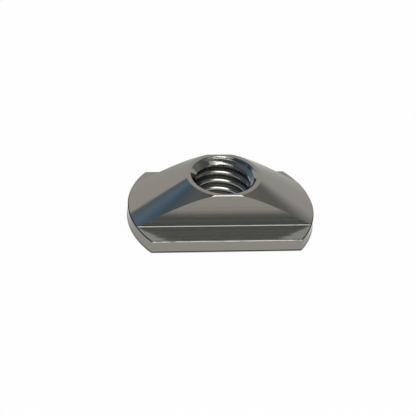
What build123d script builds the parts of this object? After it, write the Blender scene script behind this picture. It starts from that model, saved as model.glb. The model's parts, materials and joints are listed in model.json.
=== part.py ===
from build123d import *

import os
from math import radians, sin, tan

# A one-piece T-slot nut, turned and milled from round bar, with a tapped hole right through it.
#
# A thin wide flange with rounded ends slides in the wide part of a T-slot, and a narrow neck stands
# up into the slot's mouth. The blank is a disc with a cone turned on top of it. Two cuts give the
# flange its flats, and two more square the cone off into the neck and leave a ledge on each side.
# The origin is the centre of the flat underside. +X runs along the slot and +Z up the screw's axis.

# Body, in millimetres
LENGTH = 23.6  # over the rounded ends, which is the diameter of the bar
FLANGE_WIDTH = 14.8  # across the flats of the flange
FLANGE_THICKNESS = 1.7  # from the underside to the ledges and the foot of the cone
NECK_WIDTH = 9.0  # across the milled walls of the neck
HEIGHT = 6.3  # from the underside to the land round the hole
LAND_DIAMETER = 9.4  # of the flat land on top of the cone

# Tapped hole, with a coarse metric thread
THREAD_DIAMETER = 8.0
THREAD_PITCH = 1.25
MOUTH_DIAMETER = 8.1  # of the countersink at each end of the hole
COUNTERSINK_SLOPE = 45.0  # in degrees from the axis of the hole

# Small edges
RIM_CHAMFER = 0.15  # bottom edge of the rounded ends, and the long edges of the flange
LEDGE_FILLET = 0.17  # inside corner between a ledge and the neck

# Sizes that follow from the others
MINOR_DIAMETER = THREAD_DIAMETER - 1.25 * sin(radians(60)) * THREAD_PITCH  # metric thread form
CUT_LENGTH = 2 * LENGTH  # every milling cut runs out past both ends
CLOSE = LEDGE_FILLET / 100  # how near an edge is to a face that it belongs to


def turned_blank():
    """The turned bar: a thin disc with a cone on top, and the countersunk hole through it."""
    rim = LENGTH / 2
    land = LAND_DIAMETER / 2
    mouth = MOUTH_DIAMETER / 2
    bore = MINOR_DIAMETER / 2
    sink = (mouth - bore) / tan(radians(COUNTERSINK_SLOPE))
    profile = Polyline(
        (bore, sink),
        (mouth, 0),
        (rim - RIM_CHAMFER, 0),
        (rim, RIM_CHAMFER),
        (rim, FLANGE_THICKNESS),
        (land, HEIGHT),
        (mouth, HEIGHT),
        (bore, HEIGHT - sink),
        close=True,
    )
    return revolve(Plane.XZ * make_face(profile), Axis.Z)


def flange_cut(side):
    """What the first cut takes off one side: everything outside the flat of the flange."""
    depth = (LENGTH - FLANGE_WIDTH) / 2
    middle = side * (FLANGE_WIDTH + depth) / 2
    return Pos(0, middle, HEIGHT / 2) * Box(CUT_LENGTH, depth, 2 * HEIGHT)


def neck_cut(side):
    """What the second cut takes off one side: the cone beside the neck, down to the ledge."""
    wall = side * NECK_WIDTH / 2
    outside = side * LENGTH
    above = 2 * HEIGHT
    outline = Polyline(
        (wall, FLANGE_THICKNESS),
        (outside, FLANGE_THICKNESS),
        (outside, above),
        (wall, above),
        close=True,
    )
    section = make_face(outline)
    corner = section.vertices().sort_by_distance((wall, FLANGE_THICKNESS))[0]
    section = fillet(corner, LEDGE_FILLET)
    return extrude(Plane.YZ * section, CUT_LENGTH / 2, both=True)


def flange_edges(body):
    """The four long edges of the flange, at the top and the bottom of each flat."""
    flat = FLANGE_WIDTH / 2
    lengthwise = body.edges().filter_by(Axis.X)
    return lengthwise.filter_by(lambda edge: abs(abs(edge.center().Y) - flat) < CLOSE)


def make_nut():
    """The whole nut, in one piece."""
    body = turned_blank()
    for side in (-1, 1):
        body -= flange_cut(side)
        body -= neck_cut(side)
    return chamfer(flange_edges(body), RIM_CHAMFER)


def main():
    os.makedirs("parts", exist_ok=True)
    nut = make_nut()
    export_step(nut, "parts/nut.step")
    print("nut", round(nut.volume, 2), "mm3", nut.bounding_box().size)


main()
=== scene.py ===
import json
from math import asin, cos, pi, radians, sin, sqrt, tan

import bmesh
import bpy
from mathutils import Matrix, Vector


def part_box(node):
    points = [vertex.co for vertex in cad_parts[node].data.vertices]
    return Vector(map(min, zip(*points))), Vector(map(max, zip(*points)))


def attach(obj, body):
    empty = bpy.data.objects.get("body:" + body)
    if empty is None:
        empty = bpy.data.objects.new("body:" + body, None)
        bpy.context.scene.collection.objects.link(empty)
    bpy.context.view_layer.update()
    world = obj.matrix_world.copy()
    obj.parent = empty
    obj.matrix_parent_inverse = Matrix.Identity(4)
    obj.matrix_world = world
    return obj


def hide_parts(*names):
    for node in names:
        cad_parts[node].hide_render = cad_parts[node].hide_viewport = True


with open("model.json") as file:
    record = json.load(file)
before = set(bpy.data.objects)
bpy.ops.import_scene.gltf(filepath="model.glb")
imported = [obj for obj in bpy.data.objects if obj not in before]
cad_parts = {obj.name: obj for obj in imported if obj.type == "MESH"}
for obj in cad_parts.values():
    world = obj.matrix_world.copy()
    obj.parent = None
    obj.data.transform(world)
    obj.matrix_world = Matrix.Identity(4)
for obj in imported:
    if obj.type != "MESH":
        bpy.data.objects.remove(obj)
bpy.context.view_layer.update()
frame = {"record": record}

MM = 0.001

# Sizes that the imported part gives, in millimetres
low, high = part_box("nut")
mounts = {mount["name"]: mount for mount in frame["record"]["mounts"]}
RIM = (high.x - low.x) / 2 / MM
FLAT = (high.y - low.y) / 2 / MM
TOP = high.z / MM
LEDGE = mounts["front_ledge"]["pos_m"][2] / MM
WALL = mounts["neck_back"]["pos_m"][1] / MM
MINOR = mounts["screw_hole"]["dims"]["r_mm"]

# Sizes that it doesn't give, the same as in the part
LAND = 4.7
MAJOR = 4.0
PITCH = 1.25
MOUTH = 4.05
SINK_SLOPE = tan(radians(45.0))
FLAT_CHAMFER = 0.15
FILLET = 0.17

# Small details of the finish, in millimetres
RIM_EDGE = 0.1  # broken edge round the top of the rounded ends
NECK_EDGE = 0.06  # broken edge where the neck's walls meet the land
NECK_EDGE_RUN = 0.22  # how far down the cone the broken edge runs out
MOUTH_EDGE = 0.09  # how far the edge between the land and the countersink is eased outwards
CORNER_LINE = 0.06  # height of the dark strip above the fillet, a painted reflection of the dark ledge in the wall
CREST_EDGE = 0.058  # how much of a crest's flat the 45 degree edges of the thread's ridges take
CREST_AT = 0.14  # height at which a crest of the thread starts, on the +X side
ROOT_STEP = 0.03  # how much shallower the thread is at the two edges of its root

# The eased edge of the mouth, as shares of MOUTH_EDGE outwards from the mouth and down from the land
MOUTH_STEPS = [(4 / 3, 0.0), (1.0, 1 / 8), (2 / 3, 1 / 3)]

# How the mesh is divided
COLUMNS = 360  # columns of points round the hole
FLANK_STEPS = 5  # points on each flank of the thread
CORNER_SHARE = 0.1  # share of a crest's edge that is cut off where it meets the flank
ROOT_SHARE = 0.03  # share of the pitch over which the root reaches its full depth
FILLET_SHARE = 0.75  # share of a full 45 degree facet that stands in for the fillet
SPARE_TURNS = 3  # turns of the thread past each end, which the ends cut off
SAME_POINT = 0.0015  # points nearer than this are one point
SAME_ANGLE = 1e-4  # and so are the columns at angles nearer than this
SHARP = radians(28)  # an edge that bends more than this is sharp
TILT_ERROR = 0.03  # how far the upward part of a face's normal may be from a 45 degree slope's

CONE_FALL = (TOP - LEDGE) / (RIM - LAND)  # how far the cone drops for each millimetre outwards

ZONES = [
    "under", "bottom edge", "rim", "rim edge", "flat edge", "ledge", "fillet", "corner line", "wall",
    "broken", "turned", "land", "mouth", "hole", "sink",
]


def cone_height(r):
    """Height of the turned top at a distance from the axis: the land, then the cone."""
    return TOP - max(r - LAND, 0.0) * CONE_FALL


def mouth_points():
    """The eased edge from the land to the countersink, as (radius, height)."""
    return [(MOUTH + MOUTH_EDGE * out, TOP - MOUTH_EDGE * down) for out, down in MOUTH_STEPS]


def thread_steps():
    """One pitch of the metric profile, as (share of the pitch, radius), from a crest to the next."""
    crest, root = 1 / 8, 7 / 16
    slope = (MAJOR - MINOR) / (root - crest)
    steepness = slope / PITCH
    edge = CREST_EDGE * steepness / (steepness - 1)
    points = [(0.0, MINOR)]
    for step in (0.0, 0.5, 1 - CORNER_SHARE):
        points.append((crest + (step * edge - CREST_EDGE) / PITCH, MINOR + step * edge))
    start = crest + (1 + CORNER_SHARE) * (edge - CREST_EDGE) / PITCH
    for step in range(FLANK_STEPS):
        share = start + (root - start) * step / FLANK_STEPS
        points.append((share, MINOR + slope * (share - crest)))
    points += [(root, MAJOR - ROOT_STEP), (root + ROOT_SHARE, MAJOR)]
    return points + [(1 - share, radius) for share, radius in reversed(points[1:])]


def hole_column(turn):
    """The wall of the tapped hole from top to bottom, where the helix has made this share of a turn."""
    steps = thread_steps()
    rim = mouth_points()[-1]
    column = []
    for k in range(int(TOP / PITCH) + SPARE_TURNS, -SPARE_TURNS, -1):
        for share, radius in reversed(steps):
            z = CREST_AT + PITCH * (k + share + turn)
            if z >= rim[1]:
                column.append(rim)
            elif z <= 0:
                column.append((MOUTH, 0.0))
            else:
                top_sink = MOUTH + MOUTH_EDGE - (TOP - z) * SINK_SLOPE
                column.append((max(radius, top_sink, MOUTH - z * SINK_SLOPE), z))
    return column


def outer_column(angle):
    """The outside, from the hole's bottom rim outwards, up, and back in to the hole's top rim.

    Each point is (zone, radius, height), and its zone is that of the strip that leads to it.
    """
    side = max(abs(sin(angle)), 1e-6)
    rim = min(RIM, FLAT / side)
    bottom = min(RIM - FLAT_CHAMFER, (FLAT - FLAT_CHAMFER) / side)
    top = min(RIM - RIM_EDGE, (FLAT - FLAT_CHAMFER) / side)
    wall = min(WALL / side, top)
    has_wall = WALL / side < top

    # The flange. Its top edge is a chamfer on the flats, and only a broken edge on the rounded ends.
    drop = max(RIM_EDGE, min(FLAT_CHAMFER, rim * side - (FLAT - FLAT_CHAMFER)))
    column = [("under", MOUTH, 0.0), ("under", bottom, 0.0)]
    # The bottom chamfer's strip is painted dark: painted shade where the nut stands on the floor
    column += [("bottom edge", rim, FLAT_CHAMFER), ("rim", rim, LEDGE - drop)]
    foot = LEDGE if has_wall else cone_height(top)
    # The strips of the zone "rim edge" take the dark material, a darker line along the top edge
    outer_half = "flat edge" if FLAT / side < RIM else "rim edge"
    for zone, share in ((outer_half, 0.5), ("rim edge", 1.0)):
        column.append((zone, rim - (rim - top) * share, LEDGE - drop + (foot - LEDGE + drop) * share))

    # The ledge, and one facet in the corner for the fillet
    leg = FILLET_SHARE * FILLET * (2 - sqrt(2))
    for zone, share in (("ledge", 0.0), ("fillet", 1.0)):
        r = min((WALL + leg * (1 - share)) / side, top)
        z = min(LEDGE + leg * share, cone_height(r)) if has_wall else cone_height(top)
        column.append((zone, r, z))

    # The neck's wall, its broken edge at the top, and the cone and the land inside it
    crest = cone_height(wall)
    past = max(wall - LAND, 0.0)
    edge = NECK_EDGE * max(1 - past / NECK_EDGE_RUN, 0.0)
    # A thin strip of painted shade above the fillet: the wall's reflection of the dark ledge, painted in
    column.append(("corner line", wall, min(LEDGE + leg + CORNER_LINE, crest - edge)))
    column.append(("wall", wall, crest - edge))
    run = min(edge / (1 - CONE_FALL), edge + past * CONE_FALL)
    inside = max(wall - run, MOUTH + 2 * MOUTH_EDGE)
    column.append(("broken", inside, cone_height(inside)))
    column.append(("turned", min(inside, LAND), TOP))
    for zone, (r, z) in zip(("land", "mouth", "mouth"), mouth_points()):
        column.append((zone, r, z))
    return column


def column_angles():
    """The angles of the columns: even steps, and each angle at which the outline has a corner."""
    angles = {2 * pi * step / COLUMNS for step in range(COLUMNS)}
    for ratio in (
        WALL / RIM,
        WALL / (RIM - RIM_EDGE),
        FLAT / RIM,
        (FLAT - FLAT_CHAMFER) / (RIM - RIM_EDGE),
        (FLAT - FLAT_CHAMFER) / (RIM - FLAT_CHAMFER),
        WALL / LAND,
    ):
        turn = asin(ratio)
        angles |= {turn, pi - turn, pi + turn, 2 * pi - turn}
    kept = []
    for angle in sorted(angles):
        if not kept or angle - kept[-1] > SAME_ANGLE:
            kept.append(angle)
    return kept


def make_mesh():
    """The nut's mesh, made of one column of points at each angle round the hole's axis."""
    bm = bmesh.new()
    outer, inner = [], []
    for angle in column_angles():
        across, along = sin(angle), cos(angle)
        column = outer_column(angle)
        outer.append([(zone, bm.verts.new((r * along, r * across, z))) for zone, r, z in column])
        column = hole_column(angle / (2 * pi))
        inner.append([bm.verts.new((r * along, r * across, z)) for r, z in column])

    def face(corners, zone):
        bm.faces.new(corners).material_index = ZONES.index(zone)

    pitch_rows = len(thread_steps())
    count = len(outer)
    for here in range(count):
        after = (here + 1) % count
        a, b = outer[here], outer[after]
        for row in range(len(a) - 1):
            face((a[row][1], b[row][1], b[row + 1][1], a[row + 1][1]), a[row + 1][0])
        # The last column meets the first one a whole pitch further up the helix
        shift = pitch_rows if after == 0 else 0
        a, b = inner[here], inner[after]
        for row in range(shift, len(a) - 1):
            face((a[row], b[row - shift], b[row + 1 - shift], a[row + 1]), "hole")
    return bm


def clean_mesh(bm):
    """Joins the points that coincide, and says which faces are countersink and which edges are sharp."""
    bmesh.ops.remove_doubles(bm, verts=bm.verts, dist=SAME_POINT)
    loose = [v for v in bm.verts if not v.link_faces]
    bmesh.ops.delete(bm, geom=loose, context="VERTS")
    bmesh.ops.recalc_face_normals(bm, faces=bm.faces)
    hole, sink = ZONES.index("hole"), ZONES.index("sink")
    for face in bm.faces:
        # The countersinks and the edges of the thread are the parts of the hole that slope at 45 degrees
        if face.material_index == hole and abs(abs(face.normal.z) - sin(radians(45))) < TILT_ERROR:
            face.material_index = sink
    for edge in bm.edges:
        one, other = edge.link_faces
        edge.smooth = one.material_index == other.material_index and edge.calc_face_angle() <= SHARP


def make_nut():
    """The nut, in metres."""
    bm = make_mesh()
    clean_mesh(bm)
    bmesh.ops.scale(bm, vec=(MM, MM, MM), verts=bm.verts)
    mesh = bpy.data.meshes.new("nut")
    bm.to_mesh(mesh)
    bm.free()
    mesh.polygons.foreach_set("use_smooth", [True] * len(mesh.polygons))
    obj = bpy.data.objects.new("t_slot_nut", mesh)
    bpy.context.scene.collection.objects.link(obj)
    return obj


# Materials
STEEL = (0.255, 0.243, 0.216)
STEEL_IN_HOLE = (0.235, 0.245, 0.232)
SHADED = (0.05, 0.05, 0.05)  # painted shade on the bottom edge and above the fillet, and a darker line along the top edges of the rims
GRAZING = (0.72, 0.72, 0.72)
GRAZING_SHADED = (0.15, 0.15, 0.15)


def metal(name, roughness, build_marks, colour=STEEL, grazing=GRAZING):
    """Machined metal, with the tool marks that build_marks adds to it."""
    material = bpy.data.materials.new(name)
    material.use_nodes = True
    nodes, links = material.node_tree.nodes, material.node_tree.links
    shader = nodes["Principled BSDF"]
    shader.inputs["Base Color"].default_value = (*colour, 1)
    shader.inputs["Metallic"].default_value = 1.0
    shader.inputs["Roughness"].default_value = roughness
    shader.inputs["Specular Tint"].default_value = (*grazing, 1)
    build_marks(nodes, links, shader)
    return material


def add_bump(nodes, links, shader, height, strength, depth):
    """Lets a height, in shares of a depth in metres, tilt the surface."""
    bump = nodes.new("ShaderNodeBump")
    bump.inputs["Strength"].default_value = strength
    bump.inputs["Distance"].default_value = depth
    links.new(height, bump.inputs["Height"])
    links.new(bump.outputs["Normal"], shader.inputs["Normal"])


def lines(nodes, links, shader, across, scale, strength):
    """Fine parallel tool marks: noise that changes quickly along one measure only."""
    noise = nodes.new("ShaderNodeTexNoise")
    noise.noise_dimensions = "1D"
    noise.inputs["Scale"].default_value = scale
    noise.inputs["Detail"].default_value = 3.0
    links.new(across, noise.inputs["W"])
    add_bump(nodes, links, shader, noise.outputs["Fac"], strength, 0.00002)


def place(nodes, links):
    """The point on the nut, as a vector and as separate X, Y and Z, in metres."""
    coordinates = nodes.new("ShaderNodeTexCoord")
    split = nodes.new("ShaderNodeSeparateXYZ")
    links.new(coordinates.outputs["Object"], split.inputs[0])
    return coordinates.outputs["Object"], split.outputs


def turned_marks(nodes, links, shader):
    """Rings round the hole's axis."""
    point, _ = place(nodes, links)
    flatten = nodes.new("ShaderNodeVectorMath")
    flatten.operation = "MULTIPLY"
    flatten.inputs[1].default_value = (1, 1, 0)
    links.new(point, flatten.inputs[0])
    length = nodes.new("ShaderNodeVectorMath")
    length.operation = "LENGTH"
    links.new(flatten.outputs[0], length.inputs[0])
    lines(nodes, links, shader, length.outputs["Value"], 6000.0, 0.25)


def milled_marks(nodes, links, shader):
    """Straight lines along the nut, on its ledges and its walls."""
    _, split = place(nodes, links)
    total = nodes.new("ShaderNodeMath")
    total.operation = "ADD"
    links.new(split[1], total.inputs[0])
    links.new(split[2], total.inputs[1])
    lines(nodes, links, shader, total.outputs[0], 2500.0, 0.9)


def no_marks(nodes, links, shader):
    """A surface without tool marks."""


def uneven(nodes, links, shader, depth=0.00002):
    """Unevenness of a given depth, as on an edge broken by hand."""
    point, _ = place(nodes, links)
    noise = nodes.new("ShaderNodeTexNoise")
    noise.inputs["Scale"].default_value = 800.0
    noise.inputs["Detail"].default_value = 2.0
    links.new(point, noise.inputs["Vector"])
    add_bump(nodes, links, shader, noise.outputs["Fac"], 1.0, depth)


def very_uneven(nodes, links, shader):
    """Deeper unevenness, which breaks up the light along an edge."""
    uneven(nodes, links, shader, 0.00016)


turned = metal("turned_metal", 0.10, turned_marks)
ledges = metal("milled_ledge", 0.15, milled_marks)
walls = metal("milled_wall", 0.26, milled_marks)
tapped = metal("tapped_metal", 0.26, no_marks, STEEL_IN_HOLE)
burnished = metal("burnished_metal", 0.12, no_marks)
edges = metal("broken_edge", 0.16, uneven)
flange_edges = metal("flange_edge", 0.3, very_uneven)
corner = metal("inside_corner", 0.34, no_marks)
# Dark metal for thin strips: painted shade where the foot meets the floor and above the fillet, and a
# darker line along the top edges of the rims
painted_shade_and_dark_lines = metal("painted_shade_and_dark_line_edge", 0.4, no_marks, SHADED, GRAZING_SHADED)
finish = {
    "under": ledges, "bottom edge": painted_shade_and_dark_lines, "rim": turned, "rim edge": painted_shade_and_dark_lines, "flat edge": flange_edges,
    "ledge": ledges, "fillet": corner, "corner line": painted_shade_and_dark_lines, "wall": walls, "broken": edges,
    "turned": turned, "land": turned, "mouth": edges, "hole": tapped, "sink": burnished,
}

nut = make_nut()
for zone in ZONES:
    nut.data.materials.append(finish[zone])

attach(nut, "root")
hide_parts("nut")


# Surroundings: a white floor and world, and coloured cards that only the metal reflects
WORLD_LIGHT = 0.75  # level of the world for the rays that only light something
FLOOR_GLOW = 0.96  # how much of the floor's look is its own even white
CONTACT_REACH = 0.0002  # how far from the nut the floor is shaded by it
CONTACT_DEPTH = 3.0  # how much deeper that shade is than plain light would make it


def where_seen(tree):
    """One for the rays that see or reflect a surface, and nothing for the rays that only light it."""
    path = tree.nodes.new("ShaderNodeLightPath")
    either = tree.nodes.new("ShaderNodeMath")
    either.operation = "MAXIMUM"
    tree.links.new(path.outputs["Is Camera Ray"], either.inputs[0])
    tree.links.new(path.outputs["Is Glossy Ray"], either.inputs[1])
    seen = tree.nodes.new("ShaderNodeMath")
    seen.operation = "MAXIMUM"
    tree.links.new(either.outputs[0], seen.inputs[0])
    tree.links.new(path.outputs["Is Transmission Ray"], seen.inputs[1])
    return seen.outputs[0]


def make_world():
    """A white world, a little dimmer as a light than it looks."""
    world = bpy.data.worlds.new("surroundings")
    bpy.context.scene.world = world
    world.use_nodes = True
    tree = world.node_tree
    tree.nodes.clear()
    level = tree.nodes.new("ShaderNodeMapRange")
    level.inputs["To Min"].default_value = WORLD_LIGHT
    level.inputs["To Max"].default_value = 1.0
    tree.links.new(where_seen(tree), level.inputs["Value"])
    background = tree.nodes.new("ShaderNodeBackground")
    background.inputs["Color"].default_value = (1, 1, 1, 1)
    tree.links.new(level.outputs[0], background.inputs["Strength"])
    output = tree.nodes.new("ShaderNodeOutputWorld")
    tree.links.new(background.outputs[0], output.inputs[0])


def floor_material():
    """White that keeps the nut's shadow, and a deeper shade close to the nut."""
    material = bpy.data.materials.new("white_floor")
    material.use_nodes = True
    tree = material.node_tree
    tree.nodes.clear()
    contact = tree.nodes.new("ShaderNodeAmbientOcclusion")
    contact.inputs["Distance"].default_value = CONTACT_REACH
    deep = tree.nodes.new("ShaderNodeGamma")
    deep.inputs["Gamma"].default_value = CONTACT_DEPTH
    tree.links.new(contact.outputs["Color"], deep.inputs["Color"])
    glow = tree.nodes.new("ShaderNodeEmission")
    tree.links.new(deep.outputs["Color"], glow.inputs["Color"])
    matte = tree.nodes.new("ShaderNodeBsdfDiffuse")
    matte.inputs["Color"].default_value = (0.9, 0.9, 0.9, 1)
    share = tree.nodes.new("ShaderNodeMath")
    share.operation = "MULTIPLY"
    share.inputs[1].default_value = FLOOR_GLOW
    tree.links.new(where_seen(tree), share.inputs[0])
    mix = tree.nodes.new("ShaderNodeMixShader")
    tree.links.new(share.outputs[0], mix.inputs[0])
    tree.links.new(matte.outputs[0], mix.inputs[1])
    tree.links.new(glow.outputs[0], mix.inputs[2])
    output = tree.nodes.new("ShaderNodeOutputMaterial")
    tree.links.new(mix.outputs[0], output.inputs[0])
    return material


def sheet(name, corners):
    """A flat sheet with these corners."""
    data = bpy.data.meshes.new(name)
    data.from_pydata(corners, [], [tuple(range(len(corners)))])
    obj = bpy.data.objects.new(name, data)
    bpy.context.scene.collection.objects.link(obj)
    return obj


def card_material(name, stops, along, start, end):
    """A glow whose colour changes with the distance along a direction, from start to end."""
    material = bpy.data.materials.new(name)
    material.use_nodes = True
    tree = material.node_tree
    tree.nodes.clear()
    where = tree.nodes.new("ShaderNodeTexCoord")
    measure = tree.nodes.new("ShaderNodeVectorMath")
    measure.operation = "DOT_PRODUCT"
    measure.inputs[1].default_value = along
    tree.links.new(where.outputs["Object"], measure.inputs[0])
    share = tree.nodes.new("ShaderNodeMapRange")
    share.inputs["From Min"].default_value = start
    share.inputs["From Max"].default_value = end
    tree.links.new(measure.outputs["Value"], share.inputs["Value"])
    ramp = tree.nodes.new("ShaderNodeValToRGB")
    for element, (position, colour) in zip(ramp.color_ramp.elements, (stops[0], stops[-1])):
        element.position = position
        element.color = (*colour, 1)
    for position, colour in stops[1:-1]:
        ramp.color_ramp.elements.new(position).color = (*colour, 1)
    tree.links.new(share.outputs[0], ramp.inputs[0])
    glow = tree.nodes.new("ShaderNodeEmission")
    tree.links.new(ramp.outputs[0], glow.inputs["Color"])
    output = tree.nodes.new("ShaderNodeOutputMaterial")
    tree.links.new(glow.outputs[0], output.inputs[0])
    return material


def card(name, corners, stops, along, start, end):
    """A coloured sheet that only the metal reflects."""
    obj = sheet(name, corners)
    obj.visible_camera = False
    obj.visible_shadow = False
    obj.visible_diffuse = False
    obj.data.materials.append(card_material(name, stops, along, start, end))
    return obj


make_world()

# The floor reaches further to +X, which keeps the seam between its two triangles out of the picture
BELOW = -0.00001
floor = sheet("floor", [(-10, -10, BELOW), (30, -10, BELOW), (30, 10, BELOW), (-10, 10, BELOW)])
floor.data.materials.append(floor_material())

# The cards over the nut lie in one plane round the dark card, and the lamp hangs at the same height in
# front of it. The navy card is just below that plane, where it covers the left part of the blue card.
CEILING = 0.3
UNDER = CEILING - 0.001
LEFT, RIGHT = -0.09, 0.12  # sides of the dark card
NEAR, FAR = -0.12, 0.1  # its front and its back
FRONT = -0.3  # front of the cards beside the lamp
MEET = (LEFT, 0.355, CEILING)  # where the blue card and the grey card meet at the back
NAVY = (0.12, 0.155, 0.20)
BLACK_GREEN = (0.10, 0.13, 0.14)
SKY = (0.62, 0.80, 0.98)

left_card = card(
    "blue_card",
    [(-0.55, 0.562, CEILING), (-0.55, NEAR, CEILING), (LEFT, NEAR, CEILING), MEET],
    [
        (0.0, (0.13, 0.17, 0.21)),
        (0.25, (0.14, 0.18, 0.22)),
        (0.42, (0.31, 0.35, 0.37)),
        (0.54, (0.21, 0.29, 0.37)),
        (0.58, (0.18, 0.27, 0.39)),
        (0.65, (0.20, 0.35, 0.52)),
        (0.72, (0.27, 0.44, 0.65)),
        (0.80, (0.28, 0.45, 0.61)),
        (0.90, (0.25, 0.38, 0.48)),
        (1.0, (0.28, 0.36, 0.42)),
    ],
    (0.449, 1.0, 0.0), -0.3, 0.3,
)
side_card = card(
    "navy_card",
    [
        (-1.0, FRONT, UNDER), (-0.15, FRONT, UNDER), (-0.15, NEAR, UNDER), (-0.24, -0.06, UNDER),
        (-0.40, 0.16, UNDER), (-0.62, 0.40, UNDER), (-1.0, 0.72, UNDER),
    ],
    [(0.0, NAVY), (1.0, NAVY)],
    (1.0, 0.0, 0.0), -1.0, 0.0,
)
right_card = card(
    "grey_card",
    [
        (0.26, FRONT, CEILING), (1.3, FRONT, CEILING), (1.3, 1.25, CEILING), MEET,
        (LEFT, FAR, CEILING), (RIGHT, FAR, CEILING), (RIGHT, NEAR, CEILING), (0.26, NEAR, CEILING),
    ],
    [
        (0.0, (0.20, 0.20, 0.20)),
        (0.17, (0.22, 0.22, 0.22)),
        (0.30, (0.44, 0.45, 0.46)),
        (0.38, (0.36, 0.37, 0.38)),
        (0.50, (0.36, 0.37, 0.39)),
        (0.71, (0.77, 0.79, 0.81)),
        (0.89, (0.97, 0.98, 0.98)),
        (1.0, (1.0, 1.0, 1.0)),
    ],
    (-0.5, 1.0, 0.0), -0.4, 0.5,
)
overhead_card = card(
    "dark_card",
    [(LEFT, NEAR, CEILING), (RIGHT, NEAR, CEILING), (RIGHT, FAR, CEILING), (LEFT, FAR, CEILING)],
    [(0.0, BLACK_GREEN), (0.7, BLACK_GREEN), (1.0, (0.33, 0.34, 0.35))],
    (0.0, 1.0, 0.0), NEAR, FAR,
)
front_card = card(
    "cool_card",
    [(-0.6, -0.5, 0.1), (0.8, -0.5, 0.1), (0.8, -0.5, 0.52), (-0.6, -0.5, 0.52)],
    [(0.0, SKY), (1.0, SKY)],
    (0.0, 0.0, 1.0), 0.1, 0.52,
)

# The lamp leans towards the nut, and lights the edges that slope at 45 degrees
lamp = bpy.data.lights.new("key", "AREA")
lamp.shape = "RECTANGLE"
lamp.size = 0.38
lamp.size_y = 0.065
lamp.energy = 0.34
key = bpy.data.objects.new("key", lamp)
key.location = (0.055, -0.225, CEILING)
key.rotation_euler = (radians(37), 0, 0)
bpy.context.scene.collection.objects.link(key)

# Camera
YAW, TILT, ROLL = radians(8.65), radians(36.58), radians(4.60)
EYE = (-0.01624, -0.09611, 0.07325)
camera_data = bpy.data.cameras.new("camera")
camera_data.lens = 82.4
camera_data.sensor_width = 36.0
camera_data.clip_start = 0.001
camera = bpy.data.objects.new("camera", camera_data)
turn = Matrix.Rotation(-YAW, 4, "Z") @ Matrix.Rotation(radians(90) - TILT, 4, "X")
camera.matrix_world = Matrix.Translation(EYE) @ turn @ Matrix.Rotation(ROLL, 4, "Z")
bpy.context.scene.collection.objects.link(camera)
bpy.context.scene.camera = camera

bpy.context.scene.view_settings.view_transform = "Standard"
